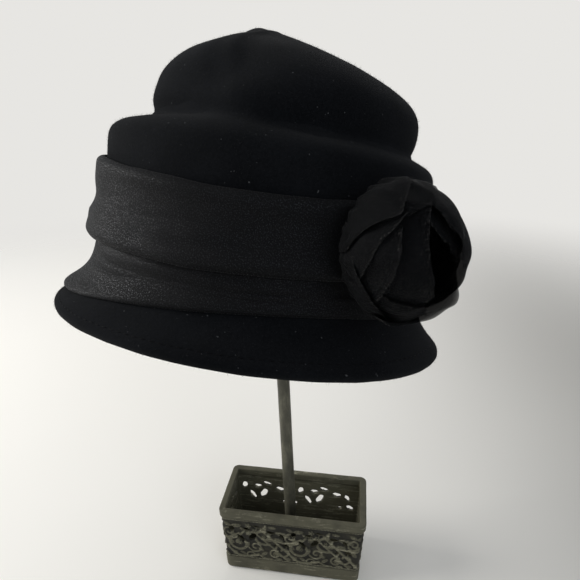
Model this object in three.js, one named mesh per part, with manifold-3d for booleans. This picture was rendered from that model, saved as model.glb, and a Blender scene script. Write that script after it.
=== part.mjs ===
// A draped felt cloche hat with a two-fold cloth band and a gathered rose, on the small metal
// stand that holds it up under its peak. Millimetres, +Z up. The origin is the centre of the
// stand's flat underside and X runs along the stand's long side. The hat has a frame of its own,
// tipped to the right and backwards on the rod: +X is its right, -Y the side that faces forward.
import * as THREE from 'three';
import { mergeVertices } from 'three/addons/utils/BufferGeometryUtils.js';
import Module from 'manifold-3d';

const wasm = await Module();
wasm.setup();

const deg = THREE.MathUtils.degToRad;
const clamp = THREE.MathUtils.clamp;

// Stand, a pierced casting with a rod through its floor and a round cap on the rod
const trayLength = 104;
const trayDepth = 49;
const trayHeight = 56;
const trayTaper = 2.8;
const trayCorner = 4.5;
const trayWall = 1.9;
const trayFloor = 3;
const trayFootRound = 2.2;
const rimWidth = 4.6;
const rimHeight = 6.5;
const rimOverhang = 1.15;
const rimRound = 0.8;
const footBand = 0.7;
const friezeFoot = 12;
const friezeTop = 47;
const motifPitch = 45.5;
const scrollRib = 1.3;
const leafMargin = 2.5;
const scrollMargin = 5.5;
const rodDiameter = 8.4;
const rodFootX = -1.8;
const rodLean = 2.5;
const rodSocketDiameter = 16;
const rodSocketHeight = 3;
const capDiameter = 26;
const capDepth = 9;

// Hat, measured in its own frame from the plane of the brim edge
const hatX = -24;
const hatY = -20;
const hatZ = 203.5;
const hatYaw = 8;
const tipRight = 8.5;
const tipBack = 7.5;
const brimHalfWidth = 109.5;
const hatHeight = 158;
const slimness = 0.9;
const feltWall = 2.2;
const hemWall = 3.4;
const segments = 36;

// Cloth band
const clothWall = 1.8;
const clothFit = 0.35;

// Rose
const roseAround = -53.5;
const roseUp = 60;
const roseMiddle = 12;
const petalWall = 1.5;
const petalGap = 0.6;
const petalCount = 10;
const petalStep = petalWall + petalGap;
const petalFlare = 8.5;
const petalTurn = 137.5;
const petalStart = 200;
const petalHalfFirst = 96;
const petalHalfLast = 80;
const petalLipFirst = 150;
const petalLipLast = 92;
const petalTopShare = 0.8;
const petalDroop = 20;
const heartRadius = 7;
const heartFootRadius = 6;
const heartClearRadius = 14;
const roseSeatRadius = 26;

const fit = 0.3;

const finish = (color, roughness, metalness) =>
  new THREE.MeshStandardMaterial({ color, roughness, metalness, side: THREE.DoubleSide });
const felt = finish(0x0b0b0c, 0.97, 0);
const crepe = finish(0x17181a, 0.7, 0);
const chiffon = finish(0x101112, 0.85, 0);
const pewter = finish(0x54564c, 0.6, 0.7);

function meshOf(points, faces) {
  const numbers = points.flatMap((point) => [point.x, point.y, point.z]);
  const geometry = new THREE.BufferGeometry();
  geometry.setAttribute('position', new THREE.Float32BufferAttribute(numbers, 3));
  geometry.setIndex(faces);
  return geometry;
}

// One closed mesh from a list of rings of equal length: each ring is joined to the next, and the
// ends are closed by a pole point each, or to one another where there is no pole.
function loft(rings, firstPole, lastPole) {
  const count = rings[0].length;
  const points = rings.flat();
  const faces = [];
  const links = firstPole ? rings.length - 1 : rings.length;
  for (let i = 0; i < links; i += 1) {
    const a = i * count;
    const b = ((i + 1) % rings.length) * count;
    for (let j = 0; j < count; j += 1) {
      const k = (j + 1) % count;
      faces.push(a + j, a + k, b + k, a + j, b + k, b + j);
    }
  }
  if (firstPole) {
    const first = points.push(firstPole) - 1;
    const last = points.push(lastPole) - 1;
    const top = (rings.length - 1) * count;
    for (let j = 0; j < count; j += 1) {
      const k = (j + 1) % count;
      faces.push(first, k, j, last, top + j, top + k);
    }
  }
  return meshOf(points, faces);
}

function toSolid(geometry) {
  const bare = new THREE.BufferGeometry();
  bare.setAttribute('position', geometry.getAttribute('position').clone());
  if (geometry.index) {
    bare.setIndex(geometry.index.clone());
  }
  const merged = mergeVertices(bare, 1e-4);
  return new wasm.Manifold(new wasm.Mesh({
    numProp: 3,
    vertProperties: new Float32Array(merged.getAttribute('position').array),
    triVerts: new Uint32Array(merged.index.array),
  }));
}

function toGeometry(solid) {
  const mesh = solid.getMesh();
  const geometry = new THREE.BufferGeometry();
  geometry.setAttribute('position', new THREE.BufferAttribute(new Float32Array(mesh.vertProperties), 3));
  geometry.setIndex(new THREE.BufferAttribute(new Uint32Array(mesh.triVerts), 1));
  return geometry;
}

function piece(name, geometry, material) {
  geometry.computeVertexNormals();
  const mesh = new THREE.Mesh(geometry, material);
  mesh.name = name;
  return mesh;
}

// Value at angle t, in radians from the hat's right, of what is known at its four sides
function around(sides, t) {
  const level = (sides.right + sides.left + sides.near + sides.far) / 4;
  const pinch = (sides.right + sides.left - sides.near - sides.far) / 4;
  return level + (sides.right - sides.left) / 2 * Math.cos(t)
    - (sides.near - sides.far) / 2 * Math.sin(t) + pinch * Math.cos(2 * t);
}

function smooth(rows, key, at) {
  const i = clamp(Math.floor(at), 0, rows.length - 2);
  const t = clamp(at - i, 0, 1);
  const b = rows[i][key];
  const c = rows[i + 1][key];
  const a = i > 0 ? rows[i - 1][key] : 2 * b - c;
  const d = i + 2 < rows.length ? rows[i + 2][key] : 2 * c - b;
  return b + 0.5 * t * (c - a + t * (2 * a - 5 * b + 4 * c - d + t * (3 * (b - c) + d - a)));
}

// The felt as it is blocked, from the brim edge up to the peak. reach and slide are shares of the
// brim's half width. up is a share of the hat's height, tip what the right has over the left and
// rise what the forward side has over the far one, in the same shares.
const blocking = [
  { at: 'brim edge', reach: 0.979, slide: 0.000, up: 0.000, tip: -0.020, rise: 0.060 },
  { at: 'turned lip', reach: 1.000, slide: 0.000, up: 0.034, tip: -0.020, rise: 0.052 },
  { at: 'brim', reach: 0.932, slide: 0.004, up: 0.066, tip: -0.014, rise: 0.040 },
  { at: 'brim', reach: 0.864, slide: 0.012, up: 0.108, tip: -0.008, rise: 0.024 },
  { at: 'brim root', reach: 0.820, slide: 0.018, up: 0.164, tip: 0.000, rise: 0.010 },
  { at: 'head line', reach: 0.800, slide: 0.016, up: 0.228, tip: 0.000, rise: 0.000 },
  { at: 'side', reach: 0.796, slide: 0.006, up: 0.315, tip: 0.000, rise: 0.000 },
  { at: 'side', reach: 0.794, slide: 0.004, up: 0.430, tip: 0.000, rise: 0.000 },
  { at: 'lower tier', reach: 0.796, slide: 0.004, up: 0.520, tip: 0.000, rise: 0.000 },
  { at: 'lower tier', reach: 0.798, slide: 0.004, up: 0.582, tip: 0.000, rise: 0.006 },
  { at: 'lower shoulder', reach: 0.786, slide: 0.004, up: 0.608, tip: -0.003, rise: 0.012 },
  { at: 'lower shoulder', reach: 0.752, slide: 0.006, up: 0.627, tip: -0.004, rise: 0.018 },
  { at: 'lower shoulder', reach: 0.694, slide: 0.012, up: 0.644, tip: -0.006, rise: 0.024 },
  { at: 'fold', reach: 0.630, slide: 0.044, up: 0.659, tip: -0.012, rise: 0.024 },
  { at: 'top tier', reach: 0.650, slide: 0.036, up: 0.703, tip: -0.006, rise: 0.020 },
  { at: 'top tier', reach: 0.642, slide: 0.044, up: 0.759, tip: 0.000, rise: 0.010 },
  { at: 'top shoulder', reach: 0.618, slide: 0.034, up: 0.799, tip: -0.006, rise: 0.000 },
  { at: 'top shoulder', reach: 0.560, slide: 0.020, up: 0.838, tip: -0.009, rise: 0.000 },
  { at: 'top', reach: 0.458, slide: 0.000, up: 0.882, tip: -0.016, rise: 0.000 },
  { at: 'top', reach: 0.318, slide: -0.012, up: 0.920, tip: -0.008, rise: 0.000 },
  { at: 'pinch', reach: 0.180, slide: -0.070, up: 0.955, tip: 0.010, rise: 0.000 },
  { at: 'pinch', reach: 0.062, slide: -0.134, up: 0.984, tip: 0.000, rise: 0.000 },
];
const peak = { slide: -0.144, up: 1 };

// Dents and swells of the felt: row of the blocking, angle from the hat's right, share of the
// half width that the felt comes out, and how far it spreads in rows and degrees.
const dents = [
  { at: 'thumb dent beside the peak', row: 16.2, angle: -116, out: -0.042, rows: 1.7, spread: 20 },
  { at: 'fold fading at the front', row: 13.2, angle: -103, out: 0.05, rows: 1.3, spread: 17 },
  { at: 'ridge below the peak', row: 17.6, angle: -128, out: 0.018, rows: 1.5, spread: 12 },
  { at: 'slack at the far side', row: 15.0, angle: 95, out: -0.03, rows: 2.2, spread: 30 },
  { at: 'swell over the band', row: 9.5, angle: -75, out: 0.012, rows: 1.5, spread: 30 },
];

function feltSurface(row, t) {
  const wide = smooth(blocking, 'reach', row) * brimHalfWidth;
  const slide = smooth(blocking, 'slide', row) * brimHalfWidth;
  const up = smooth(blocking, 'up', row) + smooth(blocking, 'tip', row) / 2 * Math.cos(t)
    - smooth(blocking, 'rise', row) / 2 * Math.sin(t);
  const point = new THREE.Vector3(
    slide + wide * Math.cos(t), wide * slimness * Math.sin(t), up * hatHeight);
  const middle = new THREE.Vector3(0, 0, hatHeight * 0.55);
  const outward = point.clone().sub(middle).normalize();
  for (const dent of dents) {
    const turn = Math.atan2(Math.sin(t - deg(dent.angle)), Math.cos(t - deg(dent.angle)));
    const far = ((row - dent.row) / dent.rows) ** 2 + (turn / deg(dent.spread)) ** 2;
    point.addScaledVector(outward, dent.out * brimHalfWidth * Math.exp(-far));
  }
  return point;
}

function feltNormal(row, t) {
  const step = 0.02;
  const up = feltSurface(Math.min(row + step, blocking.length - 1), t)
    .sub(feltSurface(Math.max(row - step, 0), t));
  const along = feltSurface(row, t + step).sub(feltSurface(row, t - step));
  return along.cross(up).normalize();
}

function ring(pointAt) {
  return Array.from({ length: segments }, (_, j) => pointAt(2 * Math.PI * j / segments));
}

const peakPoint = new THREE.Vector3(peak.slide * brimHalfWidth, 0, peak.up * hatHeight);

function feltInside(row, t) {
  const hem = clamp(1.6 - row, 0, 1);
  const wall = THREE.MathUtils.lerp(feltWall, hemWall, hem);
  return feltSurface(row, t).addScaledVector(feltNormal(row, t), -wall);
}

function feltHood() {
  const rows = blocking.map((_, i) => i);
  const inside = rows.map((row) => ring((t) => feltInside(row, t))).reverse();
  const outside = rows.map((row) => ring((t) => feltSurface(row, t)));
  const inner = peakPoint.clone().setZ(peakPoint.z - feltWall);
  return loft([...inside, ...outside], inner, peakPoint);
}

// The band's edges above the brim edge at the hat's four sides, as shares of the hat's height
const bandEdges = {
  top: { right: 0.545, left: 0.520, near: 0.490, far: 0.520 },
  fold: { right: 0.310, left: 0.268, near: 0.275, far: 0.290 },
  foot: { right: 0.150, left: 0.062, near: 0.165, far: 0.130 },
};

// How far each fold of the band stands off the felt, as shares of the brim's half width, from its
// lower edge (share 0) to its upper edge (share 1)
const upperFold = [
  { share: 0.000, out: 0.056 },
  { share: 0.060, out: 0.080 },
  { share: 0.160, out: 0.078 },
  { share: 0.320, out: 0.056 },
  { share: 0.550, out: 0.042 },
  { share: 0.780, out: 0.046 },
  { share: 0.930, out: 0.044 },
  { share: 1.000, out: 0.026 },
];
const lowerFold = [
  { share: 0.000, out: 0.024 },
  { share: 0.050, out: 0.036 },
  { share: 0.160, out: 0.038 },
  { share: 0.360, out: 0.040 },
  { share: 0.580, out: 0.038 },
  { share: 0.800, out: 0.030 },
  { share: 1.000, out: 0.022 },
];

function feltRowAt(height, t) {
  let low = 0;
  let high = blocking.length - 1;
  for (let i = 0; i < 24; i += 1) {
    const middle = (low + high) / 2;
    if (feltSurface(middle, t).z < height) {
      low = middle;
    } else {
      high = middle;
    }
  }
  return (low + high) / 2;
}

function foldPoint(foot, head, share, out, t) {
  const height = THREE.MathUtils.lerp(around(foot, t), around(head, t), share) * hatHeight;
  const row = feltRowAt(height, t);
  return feltSurface(row, t).addScaledVector(feltNormal(row, t), out);
}

// A ring of cloth with an outer face from the table and an inner face one wall behind it, never
// nearer to the felt than the fit
function clothFold(table, foot, head) {
  const outer = table.map((row) => ring((t) =>
    foldPoint(foot, head, row.share, row.out * brimHalfWidth, t)));
  const inner = table.map((row) => ring((t) =>
    foldPoint(foot, head, row.share, Math.max(row.out * brimHalfWidth - clothWall, clothFit), t)));
  return loft([...outer, ...inner.reverse()]);
}

// The head of the lower fold is tucked up under the foot of the upper one
const foldTuck = 0.045;
const lowerHead = Object.fromEntries(
  Object.entries(bandEdges.fold).map(([side, value]) => [side, value + foldTuck]));

const hat = new THREE.Group();
hat.position.set(hatX, hatY, hatZ);
hat.rotation.set(deg(-tipBack), deg(tipRight), deg(hatYaw), 'ZYX');
hat.updateMatrixWorld(true);

const upperBand = clothFold(upperFold, bandEdges.fold, bandEdges.top);
const lowerBand = clothFold(lowerFold, bandEdges.foot, lowerHead);
hat.add(piece('felt_hood', feltHood(), felt));
hat.add(piece('band_upper_fold', upperBand, crepe));
hat.add(piece('band_lower_fold', lowerBand, crepe));

// The rose faces straight out of the hat's side. Its foot is as low as the band under it lets it be.
const roseTurn = deg(roseAround);
const roseAxis = new THREE.Vector3(Math.cos(roseTurn), Math.sin(roseTurn), 0);
const roseSide = new THREE.Vector3(-Math.sin(roseTurn), Math.cos(roseTurn), 0);

function bandReach(radius) {
  let far = 0;
  for (const geometry of [upperBand, lowerBand]) {
    const position = geometry.getAttribute('position');
    for (let i = 0; i < position.count; i += 1) {
      const point = new THREE.Vector3().fromBufferAttribute(position, i);
      const aside = Math.hypot(point.dot(roseSide), point.z - roseUp);
      if (aside < radius) {
        far = Math.max(far, point.dot(roseAxis));
      }
    }
  }
  return far + fit;
}

const petalSeat = bandReach(roseSeatRadius);
const heartSeat = bandReach(heartClearRadius) - petalSeat;
const rose = new THREE.Group();
rose.matrixAutoUpdate = false;
rose.matrix.makeBasis(roseSide, new THREE.Vector3(0, 0, 1), roseAxis)
  .setPosition(roseAxis.clone().multiplyScalar(petalSeat).setZ(roseUp));
hat.add(rose);

function roseHeart() {
  const profile = [new THREE.Vector2(0, heartSeat), new THREE.Vector2(heartFootRadius, heartSeat)];
  const steps = 5;
  for (let i = 0; i <= steps; i += 1) {
    const turn = deg(THREE.MathUtils.lerp(40, 180, i / steps));
    const wide = i === steps ? 0 : Math.sin(turn) * heartRadius;
    profile.push(new THREE.Vector2(wide, roseMiddle - Math.cos(turn) * heartRadius));
  }
  return new THREE.LatheGeometry(profile, 16).rotateX(Math.PI / 2);
}

// Petals are parts of nested shells about the middle of the rose, so none meets another. The inner
// ones close over the heart and the outer ones open and turn their lips out.
function petal(index) {
  const share = (index + 1) / petalCount;
  const shell = heartRadius + petalGap + petalWall / 2 + index * petalStep;
  const lip = deg(THREE.MathUtils.lerp(petalLipFirst, petalLipLast, share));
  const foot = Math.max(Math.acos(Math.min((roseMiddle - fit) / shell, 1)),
    Math.asin(Math.min((heartFootRadius + petalStep) / shell, 1)));
  const half = THREE.MathUtils.lerp(petalHalfFirst, petalHalfLast, share);
  const middle = petalStart + index * petalTurn;
  const across = 7;
  const up = 4;
  const side = (shift) => Array.from({ length: up + 1 }, (_, i) => {
    const v = i / up;
    return Array.from({ length: across + 1 }, (_, j) => {
      const u = 2 * j / across - 1;
      const turn = deg(middle + u * half * THREE.MathUtils.lerp(1, petalTopShare, v * v));
      const rise = THREE.MathUtils.lerp(foot, lip - deg(petalDroop) * u * u * share, v);
      const radius = shell + shift + petalFlare * share * v ** 3;
      return new THREE.Vector3(radius * Math.sin(rise) * Math.cos(turn),
        radius * Math.sin(rise) * Math.sin(turn), roseMiddle - radius * Math.cos(rise));
    });
  });
  const outer = side(petalWall / 2);
  const inner = side(-petalWall / 2);
  const rings = outer.map((row, i) => [...row, ...inner[i].slice().reverse()]);
  const points = rings.flat();
  const count = rings[0].length;
  const faces = [];
  for (let i = 0; i < up; i += 1) {
    for (let j = 0; j < count; j += 1) {
      const a = i * count + j;
      const b = i * count + (j + 1) % count;
      faces.push(a, b, b + count, a, b + count, a + count);
    }
  }
  for (let j = 0; j < across; j += 1) {
    const low = [j, j + 1, count - 2 - j, count - 1 - j];
    const high = low.map((k) => k + up * count);
    faces.push(low[0], low[2], low[1], low[0], low[3], low[2]);
    faces.push(high[0], high[1], high[2], high[0], high[2], high[3]);
  }
  return meshOf(points, faces);
}

rose.add(piece('rose_heart', roseHeart(), chiffon));
for (let i = 0; i < petalCount; i += 1) {
  rose.add(piece(`rose_petal_${i + 1}`, petal(i), chiffon));
}

// The rod leans to the left and its cap carries the hat under the peak
const rodAxis = new THREE.Vector3(-Math.sin(deg(rodLean)), 0, Math.cos(deg(rodLean)));
const rodFoot = new THREE.Vector3(rodFootX, 0, trayFloor + fit);
const capRadius = capDiameter / 2;
const capDrop = (aside) => capDepth * (1 - Math.sqrt(Math.max(1 - (aside / capRadius) ** 2, 0)));

function capReach() {
  let reach = Infinity;
  for (let row = 10; row <= blocking.length - 1; row += 0.25) {
    for (let j = 0; j < 96; j += 1) {
      const point = feltInside(row, 2 * Math.PI * j / 96).applyMatrix4(hat.matrixWorld).sub(rodFoot);
      const along = point.dot(rodAxis);
      const aside = Math.sqrt(Math.max(point.lengthSq() - along * along, 0));
      if (aside < capRadius) {
        reach = Math.min(reach, along + capDrop(aside));
      }
    }
  }
  return reach - 2 * fit;
}

const capTop = capReach();
const rodLength = capTop - capDepth - fit;

function onRod(geometry) {
  const turn = new THREE.Quaternion().setFromUnitVectors(new THREE.Vector3(0, 0, 1), rodAxis);
  return geometry.applyQuaternion(turn).translate(rodFoot.x, rodFoot.y, rodFoot.z);
}

// A round bar along the rod's axis from a distance above its foot
function bar(radius, from, length) {
  return onRod(new THREE.CylinderGeometry(radius, radius, length, 16)
    .rotateX(Math.PI / 2).translate(0, 0, from + length / 2));
}

function standCap() {
  const foot = capTop - capDepth;
  const profile = [new THREE.Vector2(0, foot), new THREE.Vector2(capRadius, foot)];
  const steps = 4;
  for (let i = 1; i <= steps; i += 1) {
    const aside = i === steps ? 0 : capRadius * Math.cos(Math.PI / 2 * i / steps);
    profile.push(new THREE.Vector2(aside, capTop - capDrop(aside)));
  }
  return onRod(new THREE.LatheGeometry(profile, 20).rotateX(Math.PI / 2));
}

// Tray walls lean in towards the foot: the inset from the rim's outline at a height
const inset = (z) => trayTaper * (1 - z / trayHeight);

function outline(z, shrink) {
  const gap = inset(z) + shrink;
  const halfX = trayLength / 2 - gap;
  const halfY = trayDepth / 2 - gap;
  const round = Math.max(trayCorner - shrink, 1);
  const steps = 3;
  const points = [];
  for (const [sx, sy, start] of [[1, 1, 0], [-1, 1, 90], [-1, -1, 180], [1, -1, 270]]) {
    for (let i = 0; i <= steps; i += 1) {
      const turn = deg(start + 90 * i / steps);
      points.push(new THREE.Vector3(
        sx * (halfX - round) + round * Math.cos(turn), sy * (halfY - round) + round * Math.sin(turn), z));
    }
  }
  return points;
}

function trayShell() {
  const wall = rimOverhang + trayWall;
  const rimFoot = trayHeight - rimHeight;
  const foot = rimOverhang - footBand;
  const rings = [
    outline(0, foot + trayFootRound), outline(trayFootRound, foot), outline(friezeFoot - footBand, foot),
    outline(friezeFoot, rimOverhang), outline(rimFoot, rimOverhang), outline(rimFoot + rimOverhang, 0),
    outline(trayHeight - rimRound, 0), outline(trayHeight, rimRound),
    outline(trayHeight, rimWidth - rimRound), outline(trayHeight - rimRound, rimWidth),
    outline(rimFoot + rimWidth - wall, rimWidth), outline(rimFoot, wall), outline(trayFloor, wall),
  ];
  return loft(rings, new THREE.Vector3(0, 0, 0), new THREE.Vector3(0, 0, trayFloor));
}

// One motif of the frieze. along is a share of the motif's length and up a share of the frieze's
// height. Leaves are the gaps: long and wide are shares of the motif's length, turned in degrees.
const leaves = [
  { along: 0.08, up: 0.79, long: 0.160, wide: 0.105, turn: 78 },
  { along: 0.32, up: 0.80, long: 0.148, wide: 0.100, turn: 6 },
  { along: 0.49, up: 0.89, long: 0.180, wide: 0.078, turn: -12 },
  { along: 0.22, up: 0.56, long: 0.210, wide: 0.095, turn: -56 },
  { along: 0.42, up: 0.62, long: 0.220, wide: 0.120, turn: 62 },
  { along: 0.71, up: 0.77, long: 0.176, wide: 0.108, turn: -3 },
  { along: 0.90, up: 0.71, long: 0.150, wide: 0.085, turn: -62 },
  { along: 0.96, up: 0.46, long: 0.150, wide: 0.100, turn: -24 },
  { along: 0.79, up: 0.44, long: 0.080, wide: 0.062, turn: 20 },
];
// Scrolls are raised ribs that curl from their start radius to their end one, in the same shares
const scrolls = [
  { along: 0.20, up: 0.42, from: 0.187, to: 0.057, start: 120, turns: 1.15 },
  { along: 0.60, up: 0.66, from: 0.176, to: 0.053, start: 300, turns: -1.15 },
  { along: 0.92, up: 0.30, from: 0.143, to: 0.048, start: 140, turns: 1.05 },
];

function leafCut(leaf, hand) {
  const half = hand * leaf.long * motifPitch / 2;
  const shape = new THREE.Shape([[-1, 0], [-0.2, -1], [0.9, -0.5], [0.8, 0.6], [-0.4, 0.9]]
    .map(([x, y]) => new THREE.Vector2(x * half, y * leaf.wide * motifPitch / 2)));
  const depth = 4 * trayWall;
  return new THREE.ExtrudeGeometry(shape, { depth, bevelEnabled: false })
    .translate(0, 0, -depth / 2).rotateZ(deg(hand * leaf.turn));
}

function scrollRibOf(scroll, hand) {
  const steps = 8;
  const points = Array.from({ length: steps + 1 }, (_, i) => {
    const v = i / steps;
    const radius = THREE.MathUtils.lerp(scroll.from, scroll.to, v) * motifPitch;
    const turn = deg(scroll.start) + 2 * Math.PI * scroll.turns * v;
    return new THREE.Vector3(hand * radius * Math.cos(turn), radius * Math.sin(turn), 0);
  });
  const section = new THREE.Shape([[1, 0], [0, 1], [-1, 0], [0, -1]]
    .map(([x, y]) => new THREE.Vector2(x * scrollRib, y * scrollRib)));
  return new THREE.ExtrudeGeometry(section, {
    steps, bevelEnabled: false, extrudePath: new THREE.CatmullRomCurve3(points),
  });
}

// Every item of the motif that lies inside the wall, placed on the wall's face. A wall is given by
// its length, the distance of its face, the angle that it faces and its hand: the far wall has the
// near one's frieze as seen through it.
function onWalls(items, margin, make) {
  const made = [];
  const walls = [
    { length: trayLength, distance: trayDepth / 2, facing: -90, hand: 1 },
    { length: trayLength, distance: trayDepth / 2, facing: 90, hand: -1 },
    { length: trayDepth, distance: trayLength / 2, facing: 0, hand: 1 },
    { length: trayDepth, distance: trayLength / 2, facing: 180, hand: -1 },
  ];
  for (const wall of walls) {
    const room = wall.length / 2 - trayCorner - margin;
    for (let k = 0; k * motifPitch < wall.length; k += 1) {
      for (const item of items) {
        const x = -wall.length / 2 + trayCorner + (k + item.along) * motifPitch;
        if (Math.abs(x) > room) {
          continue;
        }
        const z = friezeFoot + item.up * (friezeTop - friezeFoot);
        const face = wall.distance - inset(z) - rimOverhang;
        const place = new THREE.Matrix4().makeRotationZ(deg(wall.facing + 90))
          .multiply(new THREE.Matrix4().makeTranslation(wall.hand * x, -face, z))
          .multiply(new THREE.Matrix4().makeRotationX(Math.PI / 2));
        made.push(toSolid(make(item, wall.hand).applyMatrix4(place)));
      }
    }
  }
  return made;
}

function standTray() {
  let tray = toSolid(trayShell());
  const socketRadius = rodSocketDiameter / 2;
  const socket = new THREE.CylinderGeometry(socketRadius, socketRadius, rodSocketHeight + 1, 20)
    .rotateX(Math.PI / 2).translate(rodFootX, 0, trayFloor + (rodSocketHeight - 1) / 2);
  tray = tray.add(toSolid(socket));
  for (const gap of onWalls(leaves, leafMargin, leafCut)) {
    tray = tray.subtract(gap);
  }
  for (const rib of onWalls(scrolls, scrollMargin, scrollRibOf)) {
    tray = tray.add(rib);
  }
  return toGeometry(tray.subtract(toSolid(bar(rodDiameter / 2 + fit, -fit, trayHeight))));
}

const object = new THREE.Group();
object.add(piece('stand_tray', standTray(), pewter));
object.add(piece('stand_rod', bar(rodDiameter / 2, 0, rodLength), pewter));
object.add(piece('stand_cap', standCap(), pewter));
object.add(hat);

export default object;
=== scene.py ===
import math

import bmesh
import bpy
import numpy as np
from mathutils import Matrix, Vector, noise
from mathutils.bvhtree import BVHTree


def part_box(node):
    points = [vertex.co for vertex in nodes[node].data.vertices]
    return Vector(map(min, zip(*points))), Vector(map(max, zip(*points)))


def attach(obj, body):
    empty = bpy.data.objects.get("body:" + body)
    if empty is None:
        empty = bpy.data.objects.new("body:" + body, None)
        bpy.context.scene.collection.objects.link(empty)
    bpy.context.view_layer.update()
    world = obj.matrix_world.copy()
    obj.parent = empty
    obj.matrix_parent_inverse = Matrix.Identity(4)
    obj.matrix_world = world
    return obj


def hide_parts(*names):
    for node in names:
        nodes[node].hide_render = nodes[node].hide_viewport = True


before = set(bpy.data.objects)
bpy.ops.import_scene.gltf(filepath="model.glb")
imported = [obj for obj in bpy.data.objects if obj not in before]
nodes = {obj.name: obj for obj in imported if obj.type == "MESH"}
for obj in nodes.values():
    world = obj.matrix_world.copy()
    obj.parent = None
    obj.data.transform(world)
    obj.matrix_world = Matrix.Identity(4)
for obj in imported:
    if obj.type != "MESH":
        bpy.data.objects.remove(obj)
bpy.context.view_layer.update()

MM = 0.001

# Camera, floor and light
# The hat is seen from a little above its brim, in daylight from the left, on a pale floor that
# fades out into a pale room.
# Shade is painted into the floor's colour on its right side.
camera_place = Vector((35, -273, 319)) * MM
camera_down = math.radians(20.5)
camera_turn = math.radians(8.1)
focal_length = 29.48
hat_middle = Vector((-10, -20, 200)) * MM


def carry(name, data):
    """A new object of the scene that carries a mesh, a light or a camera."""
    carrier = bpy.data.objects.new(name, data)
    bpy.context.scene.collection.objects.link(carrier)
    return carrier


camera = carry("camera", bpy.data.cameras.new("camera"))
camera.data.lens = focal_length
camera.data.sensor_width = 36
camera.data.clip_start = 0.01
camera.location = camera_place
camera.rotation_euler = (math.radians(90) - camera_down, 0, camera_turn)
bpy.context.scene.camera = camera
bpy.context.scene.view_settings.view_transform = "Standard"


def soft_light(name, place, size, watts, colour):
    lamp = bpy.data.lights.new(name, "AREA")
    lamp.shape = "DISK"
    lamp.size = size
    lamp.energy = watts
    lamp.color = colour
    held = carry(name, lamp)
    held.location = Vector(place)
    held.rotation_euler = (hat_middle - held.location).to_track_quat("-Z", "Y").to_euler()


soft_light("window_left", (-1.45, -0.16, 0.78), 0.9, 20, (1.0, 0.985, 0.955))
soft_light("room_right", (1.0, -1.2, 0.95), 1.2, 5.0, (0.84, 0.92, 1.0))
soft_light("room_behind", (0.2, 1.4, 1.1), 1.4, 5, (1.0, 0.98, 0.95))


class Value:
    """A shader socket that Python's own operators work on."""

    def __init__(self, paint, socket):
        self.paint = paint
        self.socket = socket

    def __add__(self, other):
        return self.paint.maths("ADD", self, other)

    def __radd__(self, other):
        return self.paint.maths("ADD", other, self)

    def __sub__(self, other):
        return self.paint.maths("SUBTRACT", self, other)

    def __rsub__(self, other):
        return self.paint.maths("SUBTRACT", other, self)

    def __mul__(self, other):
        return self.paint.maths("MULTIPLY", self, other)


def feed(tree, socket, value):
    """The socket takes a number, a colour, or what another socket gives."""
    source = value.socket if isinstance(value, Value) else value
    if isinstance(source, bpy.types.NodeSocket):
        tree.links.new(source, socket)
    else:
        socket.default_value = (*value, 1) if socket.type == "RGBA" else value


def new_node(tree, kind, settings=None, **sockets):
    """A node with its settings, then its inputs by name, or by number after an underscore."""
    made = tree.nodes.new(kind)
    for name, value in (settings or {}).items():
        setattr(made, name, value)
    for name, value in sockets.items():
        key = int(name[1:]) if name[0] == "_" else name.replace("_", " ")
        feed(tree, made.inputs[key], value)
    return made


class Paint:
    """One material: its shader's fixed values, and the nodes that vary over the surface."""

    def __init__(self, name, **fixed):
        self.material = bpy.data.materials.new(name)
        self.material.use_nodes = True
        self.tree = self.material.node_tree
        self.shader = self.tree.nodes["Principled BSDF"]
        for socket, value in fixed.items():
            self.shader.inputs[socket.replace("_", " ")].default_value = value

    def node(self, kind, settings=None, out=0, **sockets):
        return Value(self, new_node(self.tree, kind, settings, **sockets).outputs[out])

    def maths(self, operation, first, second):
        return self.node("ShaderNodeMath", {"operation": operation}, _0=first, _1=second)

    def place(self, scale=(1, 1, 1), turn=(0, 0, 0)):
        coordinates = self.node("ShaderNodeTexCoord", out="Object")
        return self.node("ShaderNodeMapping", Vector=coordinates, Scale=scale, Rotation=turn)

    def cloud(self, size, detail=2.0, rough=0.5, at=None):
        """Soft noise between 0 and 1 whose features are about size metres across."""
        where = at or self.place()
        return self.node("ShaderNodeTexNoise", out="Fac", Vector=where, Scale=1 / size,
                         Detail=detail, Roughness=rough)

    def step(self, value, low, high):
        """0 where the value is under low, 1 where it is over high, with a soft rise between."""
        settings = {"interpolation_type": "SMOOTHSTEP"}
        return self.node("ShaderNodeMapRange", settings, Value=value, From_Min=low, From_Max=high)

    def named(self, attribute):
        """A number that the mesh holds at each vertex."""
        return self.node("ShaderNodeAttribute", {"attribute_name": attribute}, out="Fac")

    def blend(self, mask, first, second):
        settings = {"data_type": "RGBA"}
        return self.node("ShaderNodeMix", settings, out=2, Factor=mask, _6=first, _7=second)

    def bump(self, height, depth):
        """depth is in metres for a height of 1."""
        return self.node("ShaderNodeBump", out="Normal", Height=height, Distance=depth,
                         Strength=1.0)

    def wear(self, **sockets):
        for name, value in sockets.items():
            feed(self.tree, self.shader.inputs[name.replace("_", " ")], value)
        return self.material


world = bpy.data.worlds.new("room")
world.use_nodes = True
room = world.node_tree
seen = new_node(room, "ShaderNodeBackground", Color=(0.80, 0.79, 0.765))
lit = new_node(room, "ShaderNodeBackground", Color=(0.95, 0.97, 1.0), Strength=0.42)
by_eye = new_node(room, "ShaderNodeLightPath").outputs["Is Camera Ray"]
either = new_node(room, "ShaderNodeMixShader", _0=by_eye, _1=lit.outputs[0], _2=seen.outputs[0])
feed(room, room.nodes["World Output"].inputs[0], either.outputs[0])
bpy.context.scene.world = world

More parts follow.
